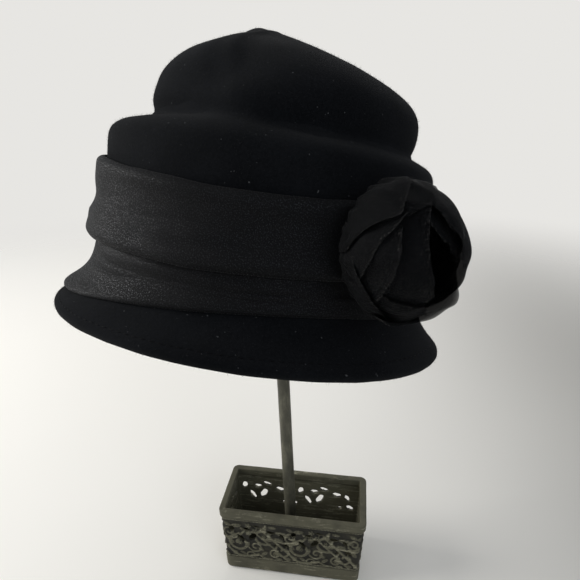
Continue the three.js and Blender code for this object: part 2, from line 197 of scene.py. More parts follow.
floor_half = 4.0
# Where the floor's painted shade starts and ends across x, in metres
floor_painted_shade_start, floor_painted_shade_end = -0.05, 0.45
floor_fade_start, floor_fade_end = 0.35, 1.5
floor_mesh = bpy.data.meshes.new("floor")
floor_mesh.from_pydata(
    [(x * floor_half, y * floor_half, 0) for x, y in ((-1, -1), (1, -1), (1, 1), (-1, 1))],
    [], [(0, 1, 2, 3)])
pale = Paint("pale_floor", Roughness=0.62, Specular_IOR_Level=0.25)
floor_x = pale.node("ShaderNodeSeparateXYZ", out="X", Vector=pale.place())
floor_tone = pale.blend(pale.cloud(0.35), (0.93, 0.91, 0.86), (0.97, 0.95, 0.90))
# Painted shade: the floor's colour darkens to grey towards the right, as if in shadow
floor_painted_shade = pale.step(floor_x, floor_painted_shade_start, floor_painted_shade_end)
pale.wear(Base_Color=pale.blend(floor_painted_shade, floor_tone, (0.42, 0.41, 0.385)))
floor_gone = pale.node("ShaderNodeBsdfTransparent")
floor_away = pale.node("ShaderNodeVectorMath", {"operation": "LENGTH"}, out="Value",
                       _0=pale.node("ShaderNodeTexCoord", out="Object"))
floor_fade = pale.node(
    "ShaderNodeMixShader", _0=pale.step(floor_away, floor_fade_start, floor_fade_end),
    _1=Value(pale, pale.shader.outputs[0]), _2=floor_gone)
floor_end = pale.tree.nodes["Material Output"]
feed(pale.tree, floor_end.inputs["Surface"], floor_fade)
floor_mesh.materials.append(pale.material)
carry("floor", floor_mesh)


# Felt hood
# One wool felt hood, blocked wet into two tiers with an off-centre peak, then shaved. Its brim
# is turned down in front, and the edge is turned under and stitched. It sits tipped on the rod.
hat_place = Matrix.Translation(Vector((-24, -20, 203.5)) * MM)
hat_tip = (("Z", 8.0), ("Y", 8.5), ("X", -7.5))
for axis, angle in hat_tip:
    hat_place = hat_place @ Matrix.Rotation(math.radians(angle), 4, axis)
hat_height = 158 * MM


def in_hat(points):
    """Points of the shared frame, seen in the hat's own upright frame."""
    back = np.array(hat_place.inverted())
    return points @ back[:3, :3].T + back[:3, 3]


def from_hat(points):
    forth = np.array(hat_place)
    return points @ forth[:3, :3].T + forth[:3, 3]


def show(name, mesh, stands_for=None):
    """A finished piece on the body root, in the place of a node where it stands for one."""
    shown = carry(name, mesh)
    mesh.polygons.foreach_set("use_smooth", [True] * len(mesh.polygons))
    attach(shown, "root")
    if stands_for in nodes:
        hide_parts(stands_for)
    return shown


def settle(carrier, name):
    """The carrier's shape with its modifiers in it, as a plain mesh, and the carrier gone."""
    bpy.context.view_layer.update()
    evaluated = carrier.evaluated_get(bpy.context.evaluated_depsgraph_get())
    mesh = bpy.data.meshes.new_from_object(evaluated)
    mesh.name = name
    old = carrier.data
    bpy.data.objects.remove(carrier)
    bpy.data.meshes.remove(old)
    return mesh


def fine_copy(node, name):
    """A node's mesh with its faces merged to quads and subdivided to a smooth surface."""
    same_place = 0.002 * MM
    work = bmesh.new()
    work.from_mesh(nodes[node].data)
    bmesh.ops.remove_doubles(work, verts=work.verts, dist=same_place)
    bmesh.ops.join_triangles(work, faces=work.faces, angle_face_threshold=math.pi,
                             angle_shape_threshold=math.pi)
    mesh = bpy.data.meshes.new(name)
    work.to_mesh(mesh)
    work.free()
    mesh.materials.clear()
    carrier = carry(name, mesh)
    rounding = carrier.modifiers.new("rounding", "SUBSURF")
    rounding.levels = 2
    rounding.render_levels = 2
    return settle(carrier, name)


def read_points(mesh, what="co"):
    flat = np.empty(len(mesh.vertices) * 3, np.float32)
    mesh.vertices.foreach_get(what, flat)
    return flat.reshape(-1, 3).astype(float)


def push_out(mesh, moves):
    """Each vertex is moved along its normal by its own distance in metres."""
    points = read_points(mesh) + read_points(mesh, "normal") * moves[:, None]
    mesh.vertices.foreach_set("co", points.astype(np.float32).ravel())
    mesh.update()


def swell(points, size, seed, height):
    """Slow noise of a height in millimetres at each point, its features about size metres."""
    shift = Vector((seed * 7.1, seed * 3.7, seed * 5.3))
    return height * MM * np.array([noise.noise(Vector(p) / size + shift) for p in points])


def around_hat(points):
    """Angle from the hat's right, in degrees, and height as a share of the hat's height."""
    local = in_hat(points)
    return np.degrees(np.arctan2(local[:, 1], local[:, 0])), local[:, 2] / hat_height


def crease_depth(angle, height, creases):
    """How far each point moves along its normal, from a table of lines pressed into cloth."""
    depth = np.zeros(len(angle))
    for crease in creases:
        run = crease["to"] - crease["from"]
        along = (angle - crease["from"]) / run
        line = crease["low"] + (crease["high"] - crease["low"]) * np.clip(along, 0, 1)
        past = np.maximum(np.maximum(-along, along - 1) * abs(run), 0) / crease.get("fade", 8)
        away = (height - line) / crease["wide"]
        depth += crease["out"] * MM * np.exp(-away ** 2 - past ** 2)
    return depth


def table(columns, rows):
    """Rows of values, each under the columns' names."""
    return [dict(zip(columns.split(), row)) for row in rows]


def hem_share(angle):
    """The height of the hem's stitching, as a share of the hat's, at an angle in degrees."""
    return 0.052 - 0.024 * np.sin(np.radians(angle))


# Heights are shares of the hat's, angles are degrees from its right, out is in millimetres
felt_creases = table("from to low high wide out fade", [
    (-175, -130, 0.664, 0.676, 0.020, -1.2, 20),
    (-85, -15, 0.664, 0.655, 0.020, -1.2, 20),
    (-128, -108, 0.930, 0.760, 0.050, 1.2, 14),
    (-150, -128, 0.800, 0.740, 0.060, -1.2, 16),
    (20, 130, 0.662, 0.668, 0.020, -1.5, 20),
])
hem_groove_wide = 0.007
hem_groove_deep = 0.45 * MM
hood_mesh = fine_copy("felt_hood", "felt_hood_fine")
hood_points = read_points(hood_mesh)
hood_angle, hood_share = around_hat(hood_points)
hood_move = crease_depth(hood_angle, hood_share, felt_creases)
hood_move += swell(hood_points, 0.035, 1, 0.55) + swell(hood_points, 0.012, 2, 0.22)
hem_away = (hood_share - hem_share(hood_angle)) / hem_groove_wide
hood_move -= hem_groove_deep * np.exp(-hem_away ** 2)
push_out(hood_mesh, hood_move)
hood = show("felt_hood_fine", hood_mesh, "felt_hood")

felt = Paint("black_wool_felt", Sheen_Weight=0.020, Sheen_Roughness=0.6, Specular_IOR_Level=0.04)
felt_nap = felt.cloud(0.0011, 4.0, 0.65)
felt_fibre = felt.cloud(0.00045, 2.0, 0.6, felt.place((1, 1, 2.2), (0.5, 0.3, 0.8)))
felt_patch = felt.cloud(0.03, 3.0)
felt_shade = felt.step(felt_nap * 0.6 + felt_patch * 0.4, 0.35, 0.68)
felt_tone = felt.blend(felt_shade, (0.0029, 0.0034, 0.0043), (0.0066, 0.0073, 0.0088))
felt_speck = felt.cloud(0.0016, 1.0, 0.5, felt.place((1, 1.3, 0.8)))
felt_lint = felt.step(felt_speck, 0.76, 0.80)
hood_mesh.materials.append(felt.wear(
    Base_Color=felt.blend(felt_lint * 0.7, felt_tone, (0.090, 0.092, 0.095)),
    Roughness=0.90 + felt_nap * 0.1,
    Normal=felt.bump(felt_nap * 0.6 + felt_fibre * 0.4, 0.00028)))


# Felt nap
# Short wool fibres stand off the shaved felt and catch the light along its outline.
def new_tree(name, sizes):
    """A tree whose inputs are Geometry, Material and one for each size, and those inputs."""
    tree = bpy.data.node_groups.new(name, "GeometryNodeTree")
    tree.interface.new_socket("Geometry", in_out="OUTPUT", socket_type="NodeSocketGeometry")
    tree.interface.new_socket("Geometry", in_out="INPUT", socket_type="NodeSocketGeometry")
    tree.interface.new_socket("Material", in_out="INPUT", socket_type="NodeSocketMaterial")
    for size in sizes:
        tree.interface.new_socket(size, in_out="INPUT", socket_type="NodeSocketFloat")
    return tree, tree.nodes.new("NodeGroupInput").outputs


def grow(tree, given, copies, name, mesh, material, sizes):
    """The tree's copies made real, with a material on them, as a plain mesh."""
    real = new_node(tree, "GeometryNodeRealizeInstances", _0=copies.outputs[0])
    finish = new_node(tree, "GeometryNodeSetMaterial", Geometry=real.outputs[0],
                      Material=given["Material"])
    new_node(tree, "NodeGroupOutput", _0=finish.outputs[0])
    carrier = carry(name, mesh)
    repeat = carrier.modifiers.new("repeat", "NODES")
    repeat.node_group = tree
    keys = {item.name: item.identifier for item in tree.interface.items_tree
            if item.in_out == "INPUT"}
    repeat[keys["Material"]] = material
    for size, value in sizes.items():
        repeat[keys[size]] = value
    return settle(carrier, name)


def nap_of(name, surface, material, fibres, seed, **sizes):
    """Fine fibres scattered over a mesh and leaning at random. Sizes are in metres."""
    sizes["Density"] = fibres / sum(face.area for face in surface.polygons)
    tree, given = new_tree(name, sizes)
    spread = new_node(tree, "GeometryNodeDistributePointsOnFaces", Mesh=given["Geometry"],
                      Density=given["Density"], Seed=seed)
    fibre = new_node(tree, "GeometryNodeMeshCone", Vertices=3, Radius_Top=0.0, Radius_Bottom=0.5,
                     Depth=1.0)
    lean = new_node(tree, "FunctionNodeRandomValue", {"data_type": "FLOAT_VECTOR"}, Seed=seed + 1,
                    Min=(-1.0, -1.0, -3.0), Max=(1.0, 1.0, 3.0))
    tall = new_node(tree, "FunctionNodeRandomValue", {"data_type": "FLOAT"}, Seed=seed + 2,
                    _2=given["Shortest"], _3=given["Longest"])
    turn = new_node(tree, "FunctionNodeRotateRotation", {"rotation_space": "LOCAL"},
                    _0=spread.outputs["Rotation"], _1=lean.outputs[0])
    size = new_node(tree, "ShaderNodeCombineXYZ", X=given["Width"], Y=given["Width"],
                    Z=tall.outputs[1])
    copies = new_node(tree, "GeometryNodeInstanceOnPoints", Points=spread.outputs["Points"],
                      Instance=fibre.outputs["Mesh"], Rotation=turn.outputs[0],
                      Scale=size.outputs[0])
    return grow(tree, given, copies, name, surface.copy(), material, sizes)


wool = Paint("wool_fibre", Roughness=0.8, Specular_IOR_Level=0.2)
fibre_tone = wool.cloud(0.004)
wool.wear(Base_Color=wool.blend(fibre_tone, (0.004, 0.004, 0.005), (0.030, 0.030, 0.032)))
nap_mesh = nap_of("felt_nap", hood_mesh, wool.material, 44000, 5,
                  Shortest=0.5 * MM, Longest=1.9 * MM, Width=0.07 * MM)
show("felt_nap", nap_mesh)


# Hem stitches
# The brim's edge is turned under and held by a line of small running stitches in black thread,
# sunk in the groove that they pull into the felt.
def row_of(name, path, material, **sizes):
    """Copies of one round grain along a closed path, as a plain mesh. Sizes are in metres."""
    tree, given = new_tree(name, sizes)
    curve = new_node(tree, "GeometryNodeMeshToCurve", _0=given["Geometry"])
    even = new_node(tree, "GeometryNodeResampleCurve", {"mode": "LENGTH"}, Curve=curve.outputs[0],
                    Length=given["Pitch"])
    grain = new_node(tree, "GeometryNodeMeshUVSphere", Segments=6, Rings=5, Radius=0.5)
    tangent = new_node(tree, "GeometryNodeInputTangent")
    turn = new_node(tree, "FunctionNodeAlignRotationToVector", {"axis": "X"},
                    Vector=tangent.outputs[0])
    size = new_node(tree, "ShaderNodeCombineXYZ", X=given["Length"], Y=given["Width"],
                    Z=given["Height"])
    copies = new_node(tree, "GeometryNodeInstanceOnPoints", Points=even.outputs[0],
                      Instance=grain.outputs["Mesh"], Rotation=turn.outputs[0],
                      Scale=size.outputs[0])
    mesh = bpy.data.meshes.new(name)
    edges = [(i, (i + 1) % len(path)) for i in range(len(path))]
    mesh.from_pydata([tuple(p) for p in path], edges, [])
    return grow(tree, given, copies, name, mesh, material, sizes)


hood_tree = BVHTree.FromPolygons(
    [tuple(p) for p in in_hat(read_points(hood_mesh))],
    [tuple(face.vertices) for face in hood_mesh.polygons])


def on_hood(angle, share, lift):
    """The point lift metres off the felt, at an angle from the hat's right and a height share."""
    turn = math.radians(angle)
    out = Vector((math.cos(turn), math.sin(turn), 0))
    outside_hat = out * 200 * MM + Vector((0, 0, share * hat_height))
    place, normal, _, _ = hood_tree.ray_cast(outside_hat, -out)
    return place + normal * lift


thread = Paint("black_thread", Roughness=0.6, Specular_IOR_Level=0.06)
thread_twist = thread.cloud(0.0006)
thread.wear(
    Base_Color=thread.blend(thread_twist, (0.0015, 0.0015, 0.0018), (0.005, 0.005, 0.006)),
    Normal=thread.bump(thread_twist, 0.0001))
hem_path = from_hat(np.array([
    on_hood(angle, hem_share(angle), 0.05 * MM) for angle in range(0, 360, 3)]))
hem_mesh = row_of("hem_stitches", hem_path, thread.material, Pitch=4.2 * MM,
                  Length=3.0 * MM, Width=0.45 * MM, Height=0.45 * MM)
show("hem_stitches", hem_mesh)


# Cloth band
# One length of black crepe laid round the crown in two soft folds on the bias, the upper fold
# hanging over the lower one. It is caught down by hand, so shallow drag lines run along it.
band_radius = 95.0


def wrap_uv(mesh):
    """A UV map in metres: once round the hat at the band's radius, and up its height."""
    points = in_hat(read_points(mesh))
    angle = np.arctan2(points[:, 0], -points[:, 1])
    corners = np.empty(len(mesh.loops), np.int32)
    mesh.loops.foreach_get("vertex_index", corners)
    starts = np.empty(len(mesh.polygons), np.int32)
    mesh.polygons.foreach_get("loop_start", starts)
    first = np.repeat(angle[corners[starts]], np.diff(np.append(starts, len(corners))))
    turn = angle[corners]
    turn = turn + 2 * np.pi * np.round((first - turn) / (2 * np.pi))
    layer = mesh.uv_layers.new(name="cloth")
    flat = np.column_stack((turn * band_radius * MM, points[corners, 2]))
    layer.data.foreach_set("uv", flat.astype(np.float32).ravel())


upper_creases = table("from to low high wide out", [
    (-185, -120, 0.520, 0.475, 0.014, 0.7),
    (-178, -95, 0.400, 0.392, 0.030, -0.9),
    (-165, -105, 0.345, 0.350, 0.016, 0.8),
    (-140, -70, 0.445, 0.418, 0.018, -0.6),
    (-110, -62, 0.330, 0.392, 0.014, -0.8),
    (-95, -58, 0.300, 0.350, 0.012, 0.7),
    (-45, 20, 0.410, 0.460, 0.016, -0.9),
    (-40, 45, 0.350, 0.400, 0.018, 0.8),
    (10, 95, 0.480, 0.430, 0.016, -0.8),
    (60, 150, 0.360, 0.400, 0.018, -0.9),
    (95, 172, 0.450, 0.480, 0.015, 0.7),
])
lower_creases = table("from to low high wide out", [
    (-182, -140, 0.252, 0.205, 0.014, -1.2),
    (-172, -120, 0.228, 0.250, 0.012, 1.0),
    (-150, -80, 0.200, 0.226, 0.014, -0.8),
    (-120, -65, 0.242, 0.238, 0.012, 0.7),
    (-100, -60, 0.205, 0.250, 0.010, -0.7),
    (-40, 30, 0.230, 0.250, 0.012, -0.8),
    (0, 80, 0.200, 0.190, 0.012, 0.7),
    (70, 160, 0.230, 0.200, 0.014, -0.9),
    (110, 178, 0.180, 0.150, 0.012, 0.7),
])

crepe = Paint("black_crepe", Sheen_Weight=0.034, Sheen_Roughness=0.4, Specular_IOR_Level=0.15)
crepe_at = crepe.node("ShaderNodeUVMap", {"uv_map": "cloth"})
crepe_place = crepe.node("ShaderNodeMapping", Vector=crepe_at, Rotation=(0, 0, 0.72))
crepe_pebble = crepe.cloud(0.00058, 2.0, 0.6, crepe_place)
crepe_grain = crepe.node("ShaderNodeTexVoronoi", {"feature": "F1"}, out="Distance",
                         Vector=crepe_place, Scale=1400.0)
crepe_slow = crepe.cloud(0.025, 2.0, 0.5)
crepe_fleck = crepe.step(crepe_pebble, 0.54, 0.64)
crepe_tone = crepe.blend(crepe_slow, (0.0008, 0.0009, 0.0014), (0.0018, 0.0020, 0.0027))
crepe.wear(
    Base_Color=crepe.blend(crepe_fleck, crepe_tone, (0.024, 0.025, 0.027)),
    Metallic=crepe_fleck * 0.9,
    Roughness=0.80 - crepe_fleck * 0.50,
    Normal=crepe.bump(crepe_pebble * 0.7 + crepe_grain * 0.3, 0.00028))


def band_fold(node, creases, seed):
    """One fold of the band, its creases counted from where the tables of creases start."""
    table_start = 185
    mesh = fine_copy(node, node + "_cloth")
    points = read_points(mesh)
    angle, share = around_hat(points)
    move = crease_depth((angle + table_start) % 360 - table_start, share, creases)
    move += swell(points, 0.028, seed, 0.7) + swell(points, 0.010, seed + 1, 0.25)
    push_out(mesh, move)
    wrap_uv(mesh)
    mesh.materials.append(crepe.material)
    fold = show(node + "_cloth", mesh, node)


band_fold("band_upper_fold", upper_creases, 11)
band_fold("band_lower_fold", lower_creases, 21)


# Rose
# A rose of black chiffon cut on the bias: single petals gathered at their feet and wrapped
# round one another, sewn to the band at the right front. Their edges let light through.
# Glints along the petals' edges and in flecks over them are painted into their colour.
rose_turn = math.radians(-53.5)
rose_out = Vector((math.cos(rose_turn), math.sin(rose_turn), 0))
rose_side = Vector((-math.sin(rose_turn), math.cos(rose_turn), 0))
rose_up = 60 * MM
heart_stands = 19 * MM
rose_seat = max(in_hat(read_points(nodes["rose_heart"].data)) @ np.array(rose_out)) - heart_stands
rose_middle = 11.5
rose_shift = (-4.0, 3.0)
rose_narrow = 0.90
rose_tall = 1.06
lip_smoothing = 20
chiffon_thick = 0.25 * MM


def from_rose(points):
    """Points in the rose's frame (its side, up and out) taken to the shared frame."""
    basis = np.array([rose_side, (0, 0, 1), rose_out])
    origin = np.array(rose_out) * rose_seat + np.array((0, 0, rose_up))
    return from_hat(points @ basis + origin)


chiffon = Paint("black_chiffon", Sheen_Weight=0.012, Sheen_Roughness=0.4,
                Specular_IOR_Level=0.07)
chiffon_at = chiffon.node("ShaderNodeUVMap", {"uv_map": "cloth"})
chiffon_warp = chiffon.node("ShaderNodeTexWave", {"bands_direction": "X"}, out="Fac",
                            Vector=chiffon_at, Scale=420.0, Distortion=1.5)
chiffon_weft = chiffon.node("ShaderNodeTexWave", {"bands_direction": "Y"}, out="Fac",
                            Vector=chiffon_at, Scale=420.0, Distortion=1.5)
chiffon_thread = chiffon.maths("MAXIMUM", chiffon_warp, chiffon_weft)
chiffon_edge = chiffon.named("edge")
# Painted glints: light flecks in the base colour, at random and more along the petals' edges
chiffon_painted_glint = chiffon.step(chiffon.cloud(0.0009, 2.0, 0.7) + chiffon_edge * 0.19, 0.64, 0.78)
chiffon.wear(
    Base_Color=chiffon.blend(
        chiffon_painted_glint * 0.5, (0.0030, 0.0033, 0.0038), (0.075, 0.072, 0.070)),
    Roughness=0.62 + chiffon_thread * 0.15,
    Alpha=0.84 - chiffon_edge * 0.36 + chiffon_thread * 0.03,
    Normal=chiffon.bump(chiffon_thread, 0.00012))

# Angles are in degrees round the rose: 180 towards the hat's front, 90 up. shell is the petal's
# radius about the rose's middle, lip the angle of its edge from the foot at five places across
# it, and flare, curl, ruffle and slack are how far it spreads and waves, in millimetres.
rose_petals = table("middle half shell lip flare curl ruffle slack", [
    (215, 105, 7.5, (120, 126, 128, 124, 118), 0.3, 0.4, 0.4, 0.2),
    (20, 100, 10.0, (118, 126, 130, 126, 120), 0.5, 0.5, 0.5, 0.3),
    (190, 96, 13.0, (116, 128, 134, 132, 120), 0.6, 0.6, 0.6, 0.4),
    (330, 92, 15.5, (112, 124, 130, 126, 116), 1.2, 0.7, 0.8, 0.4),
    (30, 86, 18.5, (116, 128, 132, 130, 118), 1.6, 0.8, 0.9, 0.5),
    (114, 40, 25.4, (100, 120, 126, 124, 116), -0.2, 0.4, 0.5, 0.6),
    (180, 86, 23.8, (120, 142, 153, 158, 150), 0.3, 0.8, 0.4, 0.6),
    (40, 96, 21.6, (142, 168, 175, 174, 160), 0.2, 0.8, 1.0, 0.6),
    (200, 50, 25.6, (120, 127, 123, 106, 72), 0.4, 0.9, 0.3, 0.9),
    (300, 60, 27.0, (104, 124, 134, 126, 104), 1.0, 0.8, 1.1, 1.0),
    (174, 34, 26.6, (119, 116, 108, 102, 92), 0.4, 0.9, 0.3, 0.9),
    (22, 98, 24.7, (134, 166, 175, 174, 152), 0.0, 0.8, 0.9, 0.8),
    (149, 40, 27.8, (102, 111, 117, 92, 76), 0.0, 1.0, 0.3, 1.1),
    (212, 52, 27.2, (60, 82, 97, 104, 98), -0.6, 0.9, 0.5, 1.0),
    (256, 46, 26.2, (108, 128, 138, 130, 108), -1.2, 0.9, 1.4, 1.4),
])


def mark(mesh, name, values):
    """A number at each vertex that a material reads by its name."""
    level = mesh.attributes.new(name, "FLOAT", "POINT")
    level.data.foreach_set("value", (np.zeros(len(mesh.vertices)) + values).astype(np.float32))


def petal_sheet(index, shape):
    """A petal of single chiffon, gathered at its foot, spread over a ball and rolled at its lip."""
    across, up = 76, 56
    u, v = np.meshgrid(np.linspace(-1, 1, across + 1), np.linspace(0, 1, up + 1))
    turn = np.radians(shape["middle"] + u * shape["half"] * (1 - 0.10 * v ** 2))
    over = np.clip((rose_middle - 0.7 + 3.4 * np.cos(turn) ** 2) / shape["shell"], -1, 0.94)
    foot = np.arccos(over)
    lip = np.interp(u, np.linspace(-1, 1, 5), shape["lip"])
    for _ in range(lip_smoothing):
        lip[:, 1:-1] = (lip[:, :-2] + 2 * lip[:, 1:-1] + lip[:, 2:]) / 4
    top = np.maximum(np.radians(lip), foot + 0.10)
    rise = foot + (top - foot) * v
    wave = np.sin(u * 5.0 + index * 2.1) * 0.6 + np.sin(u * 9.5 + index * 4.7) * 0.4
    drag = np.sin(u * 4.5 + v * 3.6 + index * 1.7) + 0.5 * np.sin(u * 9 - v * 3.1 + index)
    pleat = 0.5 * np.sin(u * 17 + index) * (1 - v) ** 1.5
    radius = shape["shell"] + shape["flare"] * v ** 3 + shape["ruffle"] * wave * v ** 3
    radius = radius + shape["slack"] * drag * np.sin(np.pi * v) + pleat
    roll = shape["curl"] * np.clip((v - 0.90) / 0.10, 0, 1) ** 1.5
    x = (radius * np.sin(rise) + roll) * np.cos(turn)
    x = np.where(x < 0, rose_narrow * x, x) + rose_shift[0]
    y = rose_tall * (radius * np.sin(rise) + roll) * np.sin(turn) + rose_shift[1]
    z = rose_middle - radius * np.cos(rise) - 0.5 * roll
    z = np.maximum(z, 0.7 - x ** 2 / (2 * band_radius))
    points = np.stack((x, y, z), -1).reshape(-1, 3) * MM
    rows = across + 1
    faces = [(j * rows + i, j * rows + i + 1, (j + 1) * rows + i + 1, (j + 1) * rows + i)
             for j in range(up) for i in range(across)]
    name = f"rose_petal_{index + 1}_chiffon"
    mesh = bpy.data.meshes.new(name)
    mesh.from_pydata([tuple(p) for p in from_rose(points)], [], faces)
    layer = mesh.uv_layers.new(name="cloth")
    grid = points.reshape(up + 1, across + 1, 3)
    tall = np.linalg.norm(np.diff(grid, axis=0), axis=2).sum(0).max()
    wide = np.linalg.norm(np.diff(grid, axis=1), axis=2).sum(1).max()
    uv = np.stack((u * wide / 2, v * tall), -1).reshape(-1, 2)
    corners = np.array([corner for face in faces for corner in face])
    layer.data.foreach_set("uv", uv[corners].astype(np.float32).ravel())
    mark(mesh, "edge", np.maximum(v ** 14, np.abs(u) ** 20).ravel())
    mesh.materials.append(chiffon.material)
    petal = show(name, mesh, f"rose_petal_{index + 1}")
    wall = petal.modifiers.new("cloth thickness", "SOLIDIFY")
    wall.thickness = chiffon_thick
    wall.offset = 0


for index, shape in enumerate(rose_petals):
    petal_sheet(index, shape)

heart_mesh = fine_copy("rose_heart", "rose_heart_cloth")
push_out(heart_mesh, swell(read_points(heart_mesh), 0.006, 31, 0.5))
rolled = Paint("rolled_chiffon", Roughness=0.7, Specular_IOR_Level=0.2)
heart_fold = rolled.cloud(0.002, 3.0)
heart_mesh.materials.append(rolled.wear(
    Base_Color=rolled.blend(heart_fold, (0.006, 0.006, 0.007), (0.014, 0.014, 0.015)),
    Normal=rolled.bump(heart_fold, 0.0004)))
show("rose_heart_cloth", heart_mesh, "rose_heart")


# Tray
# A small cast tray with thin walls, pierced and modelled with scrolls, leaves and flower heads
# between two beaded lines, over a plain foot. Its rim is a flat bar, rubbed brighter on top.
tray_low, tray_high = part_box("stand_tray")
tray_half = np.array((tray_high[0] - tray_low[0], tray_high[1] - tray_low[1])) / MM / 2
tray_height = tray_high[2] / MM

# In millimetres, levels from the ground and insets from the rim's outline
tray_taper = 2.8
tray_corner = 4.5
frieze_low = 12.0
frieze_high = 49.5
face_inset = 1.15
back_inset = 3.05
rim_width = 4.6
rim_round = 0.8
foot_inset = 0.45
foot_round = 2.2
floor_level = 3.0
cell = 0.62


def bend(level, inset, radius, first, last, steps):
    """A quarter of a round edge in the tray's section, from one angle to another about a centre."""
    turns = np.radians(np.linspace(first, last, steps + 1))
    return [(level + radius * math.sin(t), inset + radius * math.cos(t)) for t in turns]


def run_of(first, last, steps):
    """Points between two of the section, without its ends."""
    return [tuple(p) for p in np.linspace(first, last, steps + 1)[1:-1]]


foot_top = frieze_low - 0.9
ledge_round = 0.5
rim_low = frieze_high + 1.25
rim_under = frieze_high + 1.55
floor_round = 1.0
frieze_rows = int((frieze_high - frieze_low) / cell)
frieze_levels = np.linspace(frieze_low, frieze_high, frieze_rows + 1)
outside = bend(foot_round, foot_inset + foot_round, foot_round, 270, 180, 5)
outside += run_of((foot_round, foot_inset), (foot_top, foot_inset), 10)
outside += bend(foot_top, foot_inset + ledge_round, ledge_round, 180, 100, 4)
top_edge = bend(tray_height - rim_round, rim_round, rim_round, 180, 90, 4)
inner_edge = bend(tray_height - rim_round, rim_width - rim_round, rim_round, 90, 0, 4)
inside = run_of((frieze_low, back_inset), (floor_level + floor_round, back_inset), 6)
inside += bend(floor_level + floor_round, back_inset + floor_round, floor_round, 180, 270, 3)
section = outside + [(level, face_inset) for level in frieze_levels]
section += [(frieze_high + 0.35, 0.75), (frieze_high + 0.75, 0.25), (rim_low, 0.0)]
section += run_of((rim_low, 0.0), (tray_height - rim_round, 0.0), 6) + top_edge
section += run_of(top_edge[-1], inner_edge[0], 6) + inner_edge
section += run_of(inner_edge[-1], (rim_under, rim_width), 4)
section += [(rim_under, rim_width), (frieze_high + 0.7, back_inset + 0.6)]
back_start = len(section)
section += [(level, back_inset) for level in frieze_levels[::-1]] + inside
section = np.array(section)
front_start = len(outside)

# Each column round the tray is a corner's signs, or a place between two corners, and an angle
columns = []
corner_steps = 10
corners = ((1, 1), (-1, 1), (-1, -1), (1, -1))
for side, (sign_x, sign_y) in enumerate(corners):
    for step in range(corner_steps + 1):
        columns.append((sign_x, sign_y, 90 * side + 90 / corner_steps * step))
    steps = int(2 * (tray_half[side % 2] - tray_corner) / cell)
    next_x, next_y = corners[(side + 1) % 4]
    for step in range(1, steps):
        share = step / steps
        columns.append((sign_x + (next_x - sign_x) * share, sign_y + (next_y - sign_y) * share,
                        90 * side + 90))
columns = np.array(columns, float)


def tray_points(levels, insets, columns):
    """The tray's surface at each level, inset from the rim's outline, and each column round it."""
    level, side = levels[:, None], insets[:, None]
    gap = tray_taper * (1 - level / tray_height) + side
    radius = np.maximum(tray_corner - side, 1.0)
    turn = np.radians(columns[:, 2])[None]
    x = columns[None, :, 0] * (tray_half[0] - gap - radius) + radius * np.cos(turn)
    y = columns[None, :, 1] * (tray_half[1] - gap - radius) + radius * np.sin(turn)
    return np.stack((x, y, level + 0 * x), -1)


tray_grid = tray_points(section[:, 0], section[:, 1], columns)
facing = (np.round((columns[:, 2] - 0.01) / 90) * 90) % 360
past_corner = np.radians((columns[:, 2] - facing + 180) % 360 - 180)
on_long = (facing == 90) | (facing == 270)
hand = np.where((facing == 0) | (facing == 270), 1, -1)


def along_wall(grid):
    """How far each point lies along its wall from the wall's middle, round to the corner's."""
    straight = np.where(on_long, columns[:, 0] * (tray_half[0] - tray_corner),
                        columns[:, 1] * (tray_half[1] - tray_corner))
    return np.broadcast_to(straight + hand * past_corner * tray_corner, grid.shape[:2])


# One motif of the frieze. Along is a share of the motif's length and up of the frieze's height.
# A leaf's long and wide and a scroll's two radii are shares of the motif's length as well. The
# width of a rib and a flower's radius are in millimetres.
motif_pitch = 45.5
frieze_span = 35.0
gap_leaves = table("along up long wide turn", [
    (0.08, 0.79, 0.160, 0.105, 78),
    (0.32, 0.80, 0.148, 0.100, 6),
    (0.49, 0.89, 0.180, 0.078, -12),
    (0.22, 0.56, 0.210, 0.095, -56),
    (0.42, 0.62, 0.220, 0.120, 62),
    (0.71, 0.77, 0.176, 0.108, -3),
    (0.90, 0.71, 0.150, 0.085, -62),
    (0.96, 0.46, 0.150, 0.100, -24),
    (0.79, 0.44, 0.080, 0.062, 20),
])
scroll_ribs = table("along up from to start turns wide", [
    (0.20, 0.42, 0.187, 0.050, 120, 1.15, 1.35),
    (0.60, 0.66, 0.176, 0.050, 300, -1.15, 1.35),
    (0.92, 0.30, 0.143, 0.040, 140, 1.05, 1.0),
    (0.46, 0.36, 0.120, 0.030, 200, 1.2, 0.9),
    (0.78, 0.20, 0.100, 0.035, 60, 1.1, 0.9),
    (0.04, 0.72, 0.110, 0.030, 250, -1.1, 0.9),
    (0.36, 0.10, 0.080, 0.025, 20, 1.0, 0.8),
])
stem_ribs = table("from bend to wide", [
    ((0.56, 0.86), (0.84, 0.46), (1.18, 0.03), 1.2),
    ((0.50, 0.70), (0.78, 0.34), (1.04, -0.02), 0.9),
    ((0.78, 0.60), (0.98, 0.46), (1.20, 0.70), 1.0),
    ((-0.04, 0.56), (0.10, 0.44), (0.27, 0.74), 1.0),
    ((0.10, 0.10), (0.26, 0.00), (0.50, 0.14), 1.0),
    ((0.50, 0.14), (0.60, 0.02), (0.72, 0.04), 0.8),
    ((0.24, 0.84), (0.30, 0.70), (0.42, 0.76), 0.9),
    ((0.64, 0.98), (0.60, 0.84), (0.70, 0.68), 0.8),
    ((0.00, 0.34), (0.02, 0.16), (0.14, 0.08), 0.9),
])
